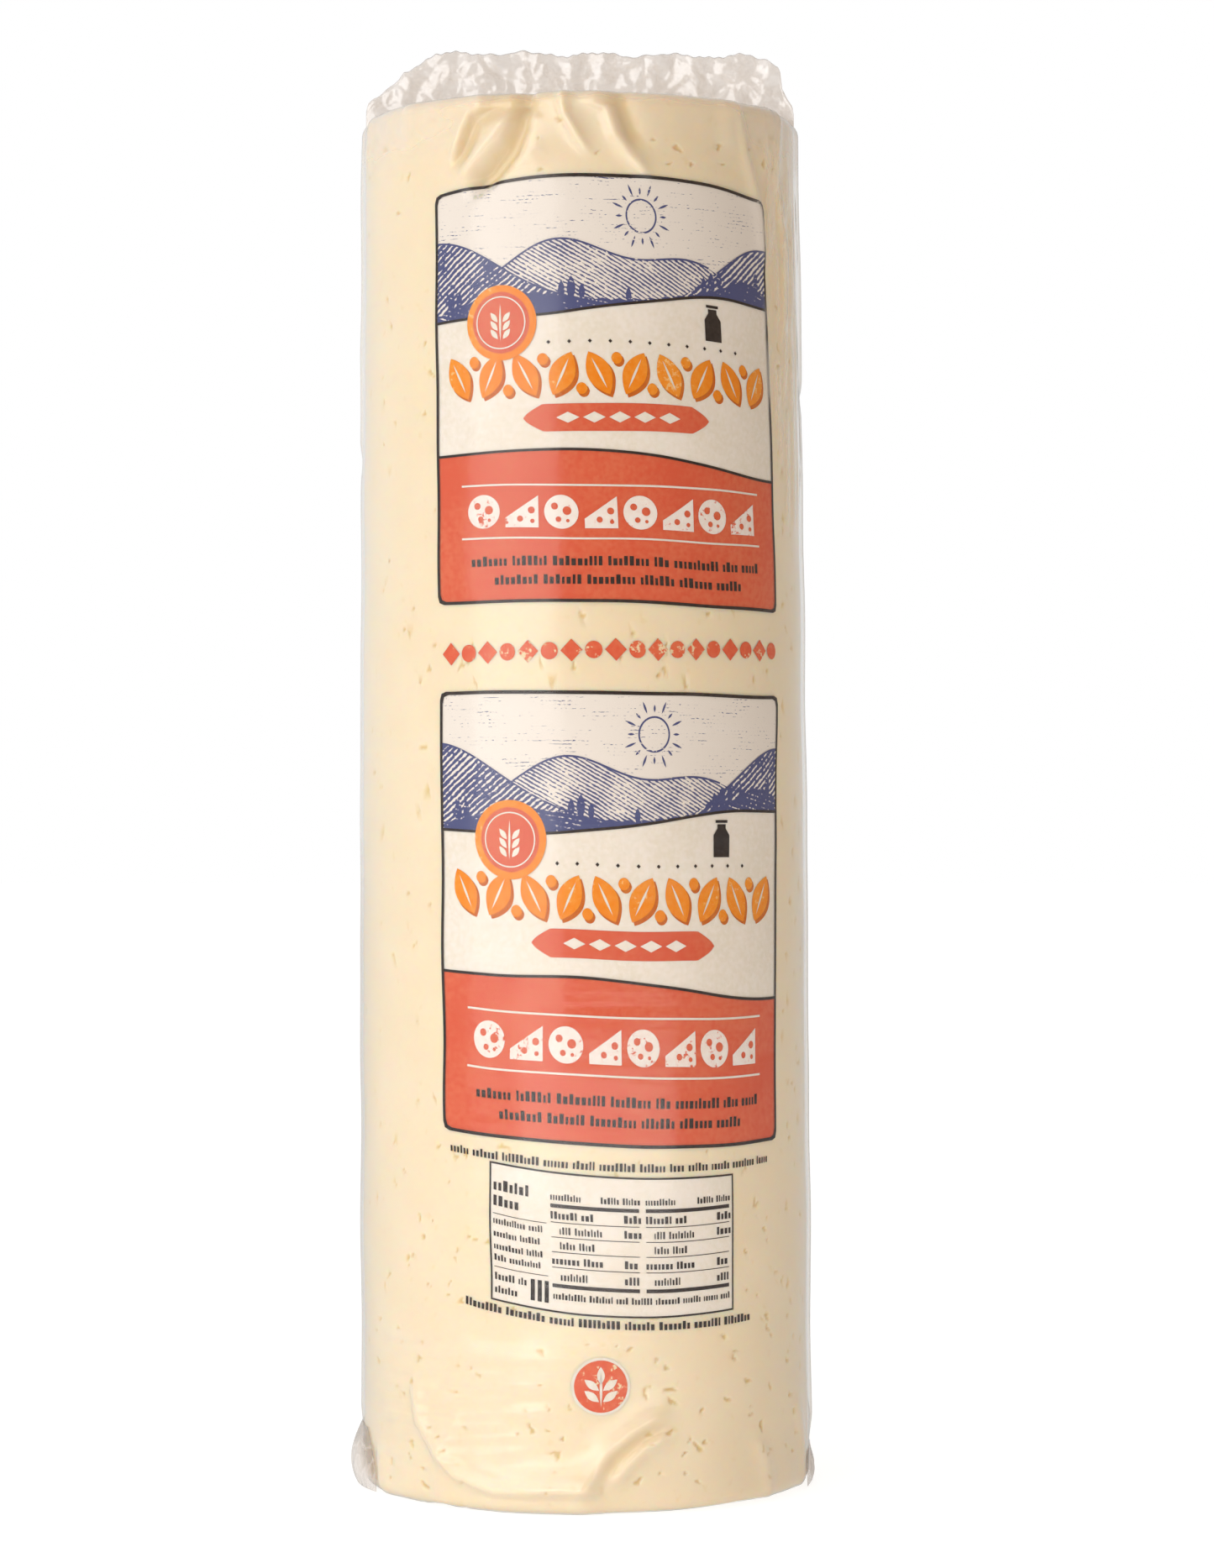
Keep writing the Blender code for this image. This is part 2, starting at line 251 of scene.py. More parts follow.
def on_head(side_height):
    return side_height >= (LOG_HEIGHT - HEAD_ROUND) * 0.9999


def log_grid(name, columns, rows, profile, front_crowding, wanted, cuts):
    """A grid that closes round the log, cut finer on the side where it is wanted, and its points' places."""
    piece = add_grid(name, columns, rows)
    arc, share, _, side_height, height = log_places(read_points(piece), profile, front_crowding)
    refine(piece, wanted(arc, side_height, height) & (share == 1), cuts)
    return piece, *log_places(read_points(piece), profile, front_crowding)


def log_skin(arc, share, inset, side_height, height, out, rise):
    """The points of a skin that lies `out` over the film all round the log, with `rise` more on the head."""
    side = side_radius(side_height) + side_relief(arc, side_height) * ease(share, 0.82, 1.0)
    foot = side_height <= FOOT_ROUND * 1.0001
    round_size = np.where(foot, FOOT_ROUND, HEAD_ROUND)
    flat_radius = (side - round_size) * share
    radius = np.where(share < 1, flat_radius, side - inset + out * (1 - inset / round_size))
    lift = HEEL_LIFT * bell(beside(arc, HEEL_MIDDLE), HEEL_HALF_WIDTH)
    lift += NOTCH_LIFT * bell(beside(arc, NOTCH_MIDDLE), NOTCH_HALF_WIDTH)
    under = np.where(foot, inset / FOOT_ROUND * lift * ease(share, 0.84, 1.0), 0.0)
    z = np.where(foot, np.maximum(height, under) - out * inset / FOOT_ROUND, height)
    z = np.maximum(0.0, np.where(on_head(side_height), height + (out + rise) * inset / HEAD_ROUND, z))
    angle = arc / ARC_RADIUS
    lean = HEAD_LEAN * np.clip(height / LOG_HEIGHT, 0, 1)
    return np.stack([lean + radius * np.sin(angle), -radius * np.cos(angle), z], axis=1)


def under_a_label(arc, height):
    return -36 * MM < arc < 53 * MM and (201 * MM < height < 298 * MM or 82 * MM < height < 184 * MM)


def opening_places():
    """Where the curds leave an opening: (arc, height, radius, turn, stretch, two wobbles)."""
    draw, places = Random(23), []
    while len(places) < OPENINGS:
        arc = draw.uniform(-ROUND_THE_LOG / 2, ROUND_THE_LOG / 2)
        height = draw.uniform(4 * MM, LOG_HEIGHT - 5 * MM)
        low_down = 1 - height / LOG_HEIGHT
        right = float(ease(arc, -45 * MM, 30 * MM)) if abs(arc) < 90 * MM else 0.7
        if draw.random() > 0.18 + 0.42 * low_down + 0.4 * right or under_a_label(arc, height):
            continue
        radius = min(0.8, 0.5 * draw.lognormvariate(0, 0.4)) * MM
        places.append((arc, height, radius, draw.uniform(0, math.tau), draw.uniform(1, 2),
                       draw.uniform(0, math.tau), draw.uniform(0, math.tau)))
    return places


def near_front_folds(arc, side_height, height):
    return np.max([fold_strength(arc, side_height, fold) for fold in FRONT_FOLDS], axis=0) > 0.15


def near_folds_or_openings(arc, side_height, height):
    near = near_front_folds(arc, side_height, height)
    for middle, up, radius, _, stretch, *_ in openings:
        reach = radius * stretch * 1.4 + 0.8 * MM
        near |= (np.abs(beside(arc, middle)) < reach) & (np.abs(height - up) < reach)
    return near


def opening_depth(arc, height, opening):
    """How deep one opening is at these places, as a share of its full depth: an angular little pit."""
    middle, up, radius, turn, stretch, wobble, corner = opening
    x, y = beside(arc, middle), height - up
    along = (x * math.cos(turn) + y * math.sin(turn)) / stretch
    across = (y * math.cos(turn) - x * math.sin(turn)) * stretch**0.35
    way = np.arctan2(across, along)
    size = radius * (1 + 0.28 * np.cos(2 * way + wobble) + 0.3 * np.cos(3 * way + corner))
    return 1 - ease(np.hypot(along, across) / size, 0.5, 1.05)


def linear(hex_colour):
    """An sRGB hex colour as the linear values that a shader takes."""
    channels = [int(hex_colour[i : i + 2], 16) / 255 for i in (1, 3, 5)]
    return (*[c / 12.92 if c <= 0.04045 else ((c + 0.055) / 1.055) ** 2.4 for c in channels], 1.0)


def add_node(material, kind, inputs, **settings):
    """One shader node, with its settings. An input is a value, a colour's hex, another node's output, or a node,
    which stands for its first output."""
    node = material.node_tree.nodes.new("ShaderNode" + kind)
    for name, value in settings.items():
        setattr(node, name, value)
    for socket, value in inputs.items():
        if isinstance(value, str):
            value = linear(value)
        if isinstance(value, bpy.types.Node):
            value = value.outputs[0]
        if isinstance(value, bpy.types.NodeSocket):
            material.node_tree.links.new(value, node.inputs[socket])
        else:
            node.inputs[socket].default_value = value
    return node


def new_material(name):
    material = bpy.data.materials.new(name)
    material.use_nodes = True
    material.node_tree.nodes.clear()
    return material


FOLDS = FRONT_FOLDS + edge_folds()

openings = opening_places()
profile = log_profile(side_rows=186, end_rings=9, round_rows=6, crowding=0.45)
cheese, arc, share, inset, side_height, height = log_grid(
    "cheese", 190, 216, profile, 0.22, near_folds_or_openings, cuts=2)
depth = np.zeros(len(arc))
for place in openings:
    depth = np.maximum(depth, opening_depth(arc, height, place) * (share == 1))
points = log_skin(arc, share, inset, side_height, height, -UNDER_FILM, 0.0)
inward = np.stack([-np.sin(arc / ARC_RADIUS), np.cos(arc / ARC_RADIUS), np.zeros(len(arc))], axis=1)
points += inward * (OPENING_DEPTH * depth)[:, None]
write_points(cheese, points)
write_values(cheese, "opening", depth)
pressed = np.max([fold_strength(arc, side_height, fold) for fold in FOLDS if fold[0] < 0], axis=0)
write_values(cheese, "pressed", pressed * (share == 1))
close_seams(cheese)

# Fresh pressed cheese: pale cream, smooth and damp, so light goes a few millimetres in and softens every edge.
# Painted shade: its colour is a warmer, darker cream in the pressed grooves and amber in the openings, for the
# shade that falls in them.
MIX_A, MIX_B, MIXED = 6, 7, 2  # the sockets of a Mix node that mixes colours
curd = new_material("fresh pressed cheese")
where = add_node(curd, "TexCoord", {}).outputs["Object"]
mottle = add_node(curd, "TexNoise", {"Vector": where, "Scale": 70.0, "Detail": 4.0})
speck = add_node(curd, "TexNoise", {"Vector": where, "Scale": 420.0, "Detail": 2.0})
speck_edge = add_node(curd, "MapRange", {"Value": speck, "From Min": 0.64, "From Max": 0.74})
opening = add_node(curd, "Attribute", {}, attribute_name="opening")
groove = add_node(curd, "Attribute", {}, attribute_name="pressed")
body = add_node(curd, "Mix", {0: mottle, MIX_A: "#F4E4C9", MIX_B: "#EFDCB9"}, data_type="RGBA")
# Painted shade in the pressed grooves: a warmer, darker cream, mixed in by how deep each groove is.
painted_groove_shade = add_node(curd, "Mix", {
    0: groove.outputs["Fac"], MIX_A: body.outputs[MIXED], MIX_B: "#E9D2A6"}, data_type="RGBA")
faint = add_node(curd, "Math", {0: speck_edge, 1: 0.22}, operation="MULTIPLY")
deep = add_node(curd, "Math", {0: opening.outputs["Fac"], 1: faint}, operation="MAXIMUM")
# Painted shade in the openings, in amber. The same amber also colours faint random specks all over.
opening_shade_and_specks = add_node(curd, "Mix", {0: deep, MIX_A: painted_groove_shade.outputs[MIXED], MIX_B: "#E5C98C"}, data_type="RGBA")
dents = add_node(curd, "Bump", {"Height": mottle, "Strength": 0.25, "Distance": 0.4 * MM})
shader = add_node(curd, "BsdfPrincipled", {
    "Base Color": opening_shade_and_specks.outputs[MIXED], "Roughness": 0.5, "IOR": 1.45, "Subsurface Weight": 1.0,
    "Subsurface Radius": (1.0, 0.62, 0.32), "Subsurface Scale": 1.8 * MM, "Normal": dents})
add_node(curd, "OutputMaterial", {"Surface": shader})
cheese.data.materials.append(curd)
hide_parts("cheese_log")
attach(cheese, "root")

# The print: inks on the film, seen through its gloss. Every field, line and small mark is a sheet of ink with
# a true edge, bent round the log just under the film's face, and the film's slack makes its lines waver.
WAVER, INK_STEP = 0.5 * MM, 0.04 * MM
INK_GRID = 1.6  # mm between the points of a broad field


def bar(left, low, right, high):
    return lambda t, v: (left + (right - left) * t, low + (high - low) * v)


def between(left, right, lower, upper):
    """A field from left to right between two lines that are given by their height at x."""
    def place(t, v):
        x = left + (right - left) * t
        return x, lower(x) + (upper(x) - lower(x)) * v
    return place


def leaf(x, y, length, width, tilt=0.0, tip=1.0):
    """A pointed oval round (x, y); a tip of 0.5 makes it round."""
    cos, sin = math.cos(math.radians(tilt)), math.sin(math.radians(tilt))
    def place(t, v):
        along = (t - 0.5) * length
        across = (v - 0.5) * width * max(0.0, math.sin(math.pi * t)) ** tip
        return x + along * cos - across * sin, y + along * sin + across * cos
    return place


def diamond(x, y, width, height):
    return lambda t, v: (x + (t - 0.5) * width, y + (v - 0.5) * height * (1 - abs(2 * t - 1)))


def ring(x, y, inner, outer):
    def place(t, v):
        angle, radius = math.tau * t, inner + (outer - inner) * v
        return x + radius * math.cos(angle), y + radius * math.sin(angle)
    return place


def line(path, width):
    """A line of even width along a path, which gives (x, y) at 0 to 1."""
    def place(t, v):
        (x0, y0), (x1, y1), (x, y) = path(t - 0.002), path(t + 0.002), path(t)
        length = math.hypot(x1 - x0, y1 - y0)
        off = (v - 0.5) * width
        return x - off * (y1 - y0) / length, y + off * (x1 - x0) / length
    return place


def print_on_film(name, layer, ink, shapes, lay=lambda x, y: (x, y)):
    """A sheet of one ink. Each shape is (its place function, steps along, steps across), in mm, and a fourth
    value leaves out every second step along; `lay` puts the shapes on the side, and a higher layer lies nearer
    the film's face."""
    piece = add_grid(name, 1, 1)
    bpy.ops.object.mode_set(mode="EDIT")
    bpy.ops.mesh.delete(type="VERT")
    flat = []
    for place, along, across, *gaps in shapes:
        bpy.ops.mesh.select_all(action="DESELECT")
        bpy.ops.mesh.primitive_grid_add(x_subdivisions=along, y_subdivisions=across, size=1, location=(0.5, 0.5, 0))
        shape = bmesh.from_edit_mesh(piece.data)
        shape.verts.ensure_lookup_table()
        flat += [lay(*place(*shape.verts[i].co[:2])) for i in range(len(flat), len(shape.verts))]
        if gaps:
            steps = [face for face in shape.faces if face.select]
            between_marks = [face for face in steps if int(face.calc_center_median().x * along) % 2]
            bmesh.ops.delete(shape, geom=between_marks, context="FACES")
            bmesh.update_edit_mesh(piece.data)
    bpy.ops.object.mode_set(mode="OBJECT")
    arc, height = MM * np.array(flat).T
    shift = [WAVER * slow_noise(arc, height, 21 * MM, seed) for seed in (3.0, 8.0)]
    write_points(piece, on_side(arc + shift[0], height + shift[1], -UNDER_FILM + (layer + 1) * INK_STEP))
    corners = np.empty(len(piece.data.loops), dtype=np.int32)
    piece.data.loops.foreach_get("vertex_index", corners)
    uv = piece.data.uv_layers.new(name="flat")
    uv.data.foreach_set("uv", (np.array(flat)[corners] / 100).astype(np.float32).ravel())
    close_seams(piece, solid=False)
    piece.data.materials.append(ink)
    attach(piece, "root")
    return piece


def flat_ink(name, colour, thin, worn=0.0, beneath="#FFFFFF"):
    """Film ink: dull, for the gloss is the film's, with the fine grain of the press, which lets a little of the
    cheese through. Worn ink has small bare specks, as from an old printing block, that show what is beneath."""
    ink = new_material(name)
    where = add_node(ink, "TexCoord", {}).outputs["Object"]
    grain = add_node(ink, "TexNoise", {"Vector": where, "Scale": 900.0, "Detail": 3.0})
    cloud = add_node(ink, "TexNoise", {"Vector": where, "Scale": 60.0, "Detail": 3.0})
    both = add_node(ink, "Math", {0: grain, 1: cloud}, operation="MULTIPLY")
    cover = add_node(ink, "MapRange", {"Value": both, "From Min": 0.16, "From Max": 0.36})
    shade = add_node(ink, "Mix", {0: cover, MIX_A: colour, MIX_B: thin}, data_type="RGBA")
    if worn:
        pits = add_node(ink, "TexNoise", {"Vector": where, "Scale": 620.0, "Detail": 4.0, "Roughness": 0.7})
        patches = add_node(ink, "Math", {0: cloud, 1: 0.5, 2: pits}, operation="MULTIPLY_ADD")
        bare = add_node(ink, "MapRange", {"Value": patches, "From Min": 0.92 - worn, "From Max": 0.97 - worn})
        shade = add_node(ink, "Mix", {0: bare, MIX_A: shade.outputs[MIXED], MIX_B: beneath}, data_type="RGBA")
    shader = add_node(ink, "BsdfPrincipled", {
        "Base Color": shade.outputs[MIXED], "Specular IOR Level": 0.0, "Subsurface Weight": 0.35,
        "Subsurface Radius": (1.0, 0.7, 0.5), "Subsurface Scale": 1.0 * MM})
    add_node(ink, "OutputMaterial", {"Surface": shader})
    return ink


def engraved_ink(name, cover, turn, flatten=1.0, spacing=0.8):
    """Blue ink in engraved lines over white, coarser than the real ones, so that they show. The hatching, its
    spacing in mm, thickens and breaks up as the light and dark masses under it change, 9 mm across; `cover` is
    the blue share."""
    ink = new_material(name)
    flat = add_node(ink, "UVMap", {}, uv_map="flat").outputs["UV"]
    turned = add_node(ink, "Mapping", {"Vector": flat, "Rotation": (0.0, 0.0, math.radians(turn))})
    level = add_node(ink, "Mapping", {"Vector": flat, "Scale": (1.0, flatten, 1.0)})
    hatching = add_node(ink, "TexWave", {
        "Vector": turned, "Scale": math.tau / (20 * spacing / 100), "Distortion": 2.2, "Detail": 2.0,
        "Detail Scale": 0.5}, wave_type="BANDS", bands_direction="Y")
    masses = add_node(ink, "TexNoise", {"Vector": level, "Scale": 11.0, "Detail": 4.0, "Roughness": 0.6})
    flecks = add_node(ink, "TexNoise", {"Vector": level, "Scale": 130.0, "Detail": 3.0})
    drawn = add_node(ink, "Math", {0: hatching.outputs["Fac"], 1: 0.5, 2: flecks}, operation="MULTIPLY_ADD")
    strokes = add_node(ink, "Math", {0: masses, 1: 0.9, 2: drawn}, operation="MULTIPLY_ADD")
    limit = 1.2 - 0.7 * (cover - 0.5)
    edge = add_node(ink, "MapRange", {"Value": strokes, "From Min": limit - 0.03, "From Max": limit + 0.03})
    shade = add_node(ink, "Mix", {0: edge, MIX_A: "#EBE1D6", MIX_B: "#52567F"}, data_type="RGBA")
    shader = add_node(ink, "BsdfPrincipled", {"Base Color": shade.outputs[MIXED], "Specular IOR Level": 0.0})
    add_node(ink, "OutputMaterial", {"Surface": shader})
    return ink


white_ink = flat_ink("white film ink", "#F1E7DB", "#EADFCE")
worn_white = flat_ink("worn white film ink", "#F3E9E0", "#F0DFD4", worn=0.06, beneath="#DC684A")
red_ink = flat_ink("red film ink", "#DA5F42", "#DE704F")
worn_red = flat_ink("worn red film ink", "#DE5F41", "#E2704D", worn=0.05, beneath="#EBD4AC")
orange_ink = flat_ink("orange film ink", "#EF881A", "#F29834", worn=0.03, beneath="#F6C07A")
rust_ink = flat_ink("dark orange film ink", "#C9641F", "#CE7430")
black_ink = flat_ink("black film ink", "#332B29", "#453B36")
sky_ink = engraved_ink("blue flecks on white", -0.05, 0, 4.0)
far_ink = engraved_ink("far hills in fine lines", 0.42, 30)
mid_ink = engraved_ink("near hills in lines", 0.66, -38, 1.0, 1.15)
near_ink = engraved_ink("nearest hills almost solid", 1.0, 12, 1.0, 1.0)

# The two labels: the same design twice, one over the other, in a rounded frame that the film has pulled a little
# out of square. Farmland under a low sun fills the top, a band of orange leaves and a red bar the white middle,
# and white cheese wheels and wedges the red field.
LABEL_HALF, LABEL_TALL, CORNER, FRAME_WIDTH = 43.5, 94.5, 1.5, 0.72
SUN, BADGE, CHURN_X, BAR_HEIGHT = (7, 86), (-26, 63.4), 24.5, 41.9
LEAVES, LEAF_STEP, FIRST_LEAF, BAND_HEIGHT = 10, 8.3, -37.2, 51.6
LABELS = (  # middle and half-width at the foot and at the top, then the foot's height and how it hangs
    {"name": "upper_label", "foot": (9.6, 43.8), "top": (7.0, 42.8), "low": 201.8, "stretch": 0.967, "arch": 3.6,
     "drop": 0.6, "sag": -0.4},
    {"name": "lower_label", "foot": (9.0, 41.7), "top": (9.4, 43.4), "low": 83.4, "stretch": 1.044, "arch": 0.5,
     "drop": 1.8, "sag": 1.6},
)


def hang(x, middle, half, drop, sag):
    """How far a line of print hangs at x: down by `drop` from its middle to its right end, and `sag` between."""
    u = (x - middle) / half
    return -drop * u - sag * (1 - u * u)


def label_top(x):
    edge = max(0.0, abs(x) - (LABEL_HALF - CORNER))
    return LABEL_TALL - CORNER + math.sqrt(max(0.0, CORNER**2 - edge**2))


def label_foot(x):
    return LABEL_TALL - label_top(x)


def skyline(x):
    return 64.8 + 5.4 * ease(x, -20, 32)


def red_top(x):
    return 33.2 - 2.0 * math.sin(math.pi * x / 87) + 1.1 * math.cos(math.tau * x / 87)


def hill(x, peak, height, width):
    return height * math.exp(-(((x - peak) / width) ** 2))


def far_hills(x):
    return 69.5 + hill(x, -13, 11.5, 16) + hill(x, 18, 7.5, 16)


def near_hills(x):
    return 66 + hill(x, -45, 17.5, 25) + hill(x, 43, 17.5, 21)


def nearest_hills(x):
    return skyline(x) + 0.4 + hill(x, -23, 5, 17) + hill(x, 36, 4.5, 9) + 0.25 * math.sin(x * 1.7)


def bar_half(x):
    """Half the height of the red bar at x: pointed at both ends."""
    return 3.1 * min(1.0, max(0.0, 22 - abs(x - 0.5)) / 4.5) ** 0.7


def frame_line(t, v):
    """A line of even width round the label, from the middle of its top, its corners rounded."""
    half, tall, off = LABEL_HALF, LABEL_TALL / 2, (v - 0.5) * FRAME_WIDTH
    x, y = math.sin(math.tau * t), math.cos(math.tau * t)
    reach = 1 / max(abs(x), abs(y))
    x, y = x * reach * half, y * reach * tall
    in_x, in_y = max(0.0, abs(x) - (half - CORNER)), max(0.0, abs(y) - (tall - CORNER))
    if in_x > 0 and in_y > 0:
        shrink = CORNER / math.hypot(in_x, in_y)
        x, y = math.copysign(half - CORNER + in_x * shrink, x), math.copysign(tall - CORNER + in_y * shrink, y)
    return x * (1 + off / half), tall + y * (1 + off / tall)


def along_label(height_at, width=0.6, left=-LABEL_HALF, right=LABEL_HALF):
    """A line across the label that follows a height given at x."""
    return line(lambda t: (left + (right - left) * t, height_at(left + (right - left) * t)), width), 80, 1


def small_print(left, right, low, tall, seed, weight=0.24):
    """A row of plain upright strokes, grouped like words, in place of a line of small print."""
    draw = Random(seed)
    strokes, x = [], left
    while x < right - tall:
        word_end = min(right, x + draw.uniform(1.6, 5.2) * tall)
        while x < word_end:
            wide = weight * tall * draw.uniform(0.8, 1.5)
            strokes.append((x, x + wide, tall * (1.0 if draw.random() < 0.35 else 0.74)))
            x += wide + 0.21 * tall
        x += 0.42 * tall

    def place(t, v):
        edge = round(t * (2 * len(strokes) - 1))
        stroke = strokes[edge // 2]
        return stroke[edge % 2], low + v * stroke[2]
    return place, 2 * len(strokes) - 1, 1, "gaps"


def wedge(x, low, wide, thin_end, thick_end):
    return lambda t, v: (x + (t - 0.5) * wide, low + v * (thin_end + (thick_end - thin_end) * t))


for label in LABELS:
    def lay(x, y, label=label):
        up = y / LABEL_TALL
        middle, half = (f + (t - f) * up for f, t in zip(label["foot"], label["top"]))
        arch = label["arch"] * (1 - (x / LABEL_HALF) ** 2) * max(0.0, up) ** 2
        at_foot = hang(x, 0, LABEL_HALF, label["drop"], label["sag"]) * (1 - 0.75 * up)
        return middle + x * half / LABEL_HALF, label["low"] + y * label["stretch"] + arch + at_foot

    def put(name, layer, ink, shapes):
        return print_on_film(f"{label['name']}_{name}", layer, ink, shapes, lay)

    edge = LABEL_HALF
    across, tall = round(2 * edge / INK_GRID) + 40, round(LABEL_TALL / INK_GRID)
    put("white", 0, white_ink, [(between(-edge, edge, label_foot, label_top), across, tall)])
    put("sky", 1, sky_ink, [(between(-edge, edge, skyline, label_top), across, 20)])
    put("far_hills", 2, far_ink, [(between(-edge + 9, edge - 4, skyline, far_hills), across, 14)])
    put("near_hills", 3, mid_ink, [
        (between(-edge, -2, skyline, near_hills), 44, 12), (between(14, edge, skyline, near_hills), 40, 14)])
    put("hill_edges", 4, near_ink, [along_label(hills, 0.4, left, right) for hills, left, right in (
        (far_hills, -33, 24), (near_hills, -edge, -8), (near_hills, 20, edge))])
    trees = [(leaf(x, nearest_hills(x) + 0.3 * size, size, 0.36 * size, 90, 0.8), 8, 3) for x, size in (
        (-39, 5.6), (-36.8, 4.6), (-12, 4.4), (-9.8, 5.4), (-7.4, 3.9), (3.2, 3.6), (22.5, 4.2), (24.6, 5.4),
        (26.9, 4.6), (39.6, 5.0))]
    put("nearest_hills", 4, near_ink, [(between(-edge, edge, skyline, nearest_hills), across, 6)] + trees)
    put("red", 1, red_ink, [(between(-edge, edge, label_foot, red_top), across, 22)])
    rays = []
    for i in range(16):
        angle, far = math.tau * i / 16, 7.4 if i % 2 else 6.2
        reach = (4.6 + far) / 2
        rays.append((leaf(SUN[0] + reach * math.cos(angle), SUN[1] + reach * math.sin(angle), far - 4.6, 0.5,
                          math.degrees(angle)), 6, 1))
    put("sun", 2, near_ink, [(ring(*SUN, 3.4, 3.8), 40, 1)] + rays)
    leaves, shade, veins = [], [], []
    for i in range(LEAVES):
        x, tilt, berry = FIRST_LEAF + LEAF_STEP * i, 64 if i % 2 else 116, -3.3 if i % 2 else 3.3
        leaves += [(leaf(x, BAND_HEIGHT, 10.4, 5.6, tilt, 0.85), 14, 4)]
        shade += [(leaf(x + 0.6, 50.9, 10.4, 5.8, tilt, 0.85), 14, 4)]
        veins += [(leaf(x, BAND_HEIGHT, 7.4, 0.55, tilt), 8, 1)]
        if i < LEAVES - 1:
            leaves += [(leaf(x + 4.15, BAND_HEIGHT + berry, 2.6, 2.6, 0, 0.5), 12, 4)]
            shade += [(leaf(x + 4.6, 51.0 + berry, 2.7, 2.7, 0, 0.5), 12, 4)]
    put("band_shade", 1, rust_ink, shade)
    put("band", 2, orange_ink, leaves)
    put("band_veins", 3, white_ink, veins)
    put("bar", 2, red_ink, [
        (between(-21.5, 22.5, lambda x: BAR_HEIGHT - bar_half(x), lambda x: BAR_HEIGHT + bar_half(x)), 60, 4)])
    put("bar_diamonds", 3, white_ink, [
        (diamond(x, BAR_HEIGHT, 5.2, 2.5), 4, 2) for x in (-11.5, -5.5, 0.5, 6.5, 12.5)])
    put("rules", 3, white_ink, [(bar(-37, y, 37, y + 0.45), 50, 1) for y in (26.5, 14.3)])
    shapes, holes = [], []
    for i in range(8):
        x = -31.5 + 9.0 * i
        if i % 2:
            shapes += [(wedge(x, 16.9, 7.6, 2.2, 7.4), 8, 4)]
            spots = ((2.2, 20.9, 0.8), (-0.4, 18.9, 0.7), (2.4, 18.4, 0.5))
        else:
            shapes += [(ring(x, 20.6, 0.0, 3.9), 32, 2)]
            spots = ((-1.5, 21.9, 0.8), (1.3, 20.9, 1.0), (-0.7, 18.9, 0.65), (1.4, 18.6, 0.4))
        holes += [(ring(x + a, b, 0.0, r), 14, 1) for a, b, r in spots]
    put("shapes", 3, worn_white, shapes)
    put("holes", 4, red_ink, holes)
    churn = [(bar(CHURN_X - half, low, CHURN_X + half, high), *steps) for half, low, high, *steps in (
        (2.3, 60.4, 65.0, 3, 3), (1.2, 66.4, 67.3, 2, 1), (1.7, 67.6, 68.2, 2, 1))]
    churn += [(lambda t, v: (CHURN_X + (t - 0.5) * (4.6 - 2.2 * v), 65.0 + 1.4 * v), 3, 2)]
    dots = [(diamond(-15 + 4.6 * i, 58.6, 0.9, 0.9), 4, 2) for i in range(11)]
    put("marks", 3, black_ink, churn + dots + [
        small_print(-34.5, 35.5, 8.2, 2.2, 5, 0.3), small_print(-29, 30, 3.9, 2.2, 6, 0.3)])
    put("badge_rim", 6, orange_ink, [(ring(*BADGE, 6.9, 8.5), 48, 2)])
    put("badge", 6, red_ink, [(ring(*BADGE, 0.0, 7.0), 48, 4)])
    grains = [(leaf(BADGE[0] + side * 1.5, 60.8 + 1.9 * k, 2.9, 1.2, 90 - side * 38), 8, 2)
              for side in (-1, 1) for k in range(3)]
    put("badge_wheat", 7, white_ink, [
        (leaf(*BADGE, 8.6, 0.5, 90), 10, 1), (ring(*BADGE, 5.7, 6.0), 40, 1)] + grains)
    put("lines", 5, black_ink, [
        (frame_line, 320, 1), along_label(skyline), along_label(red_top)])

# The print between and under the labels: a row of red shapes, small dark print, a ruled table on white, and a
# small round sprig near the foot. It has no ink under it but where the table is white, and it hangs lower on the
# right, where the film is slack.
row = []
for i in range(18):
    x = -31.2 + 4.85 * i
    row += [(ring(x, 191.7, 0.0, 1.9), 20, 2)] if i % 2 else [(diamond(x, 191.7, 4.8, 5.0), 6, 3)]
print_on_film("row_of_shapes", 2, worn_red, row, lambda x, y: (x, y + 0.6 * math.sin((x - 10) / 22)))


def lay_table(x, y):
    return x, 46.2 + y + hang(x, 7, 28.4, 1.75, 2.1 - 0.8 * y / 30)


print_on_film("table_white", 0, white_ink, [(bar(-21.3, 0, 35.5, 30), 40, 22)], lay_table)
rules = [(bar(-21.5, y, 35.7, y + 0.4), 40, 1) for y in (-0.2, 29.8)]
rules += [(bar(x, -0.2, x + 0.4, 30.2), 1, 20) for x in (-21.5, 35.3)]
rules += [(bar(-20.6, y, -8.2, y + 0.15), 10, 1) for y in (19.1, 7.4)]
rules += [small_print(-20.5, -11.5, 24.2, 2.3, 50, 0.3), small_print(-20.5, -14.5, 20.9, 2.2, 51, 0.3)]
rules += [small_print(-20.5, -9.2, y, 1.4, 52 + i) for i, y in enumerate((17.0, 14.2, 11.4, 8.9))]
rules += [small_print(-20.5, -13.4, 4.6, 1.6, 60), small_print(-20.5, -13.0, 1.7, 1.6, 61)]
rules += [(bar(x, 1.6, x + 0.95, 6.3), 1, 3) for x in (-12.2, -10.6, -9.0)]
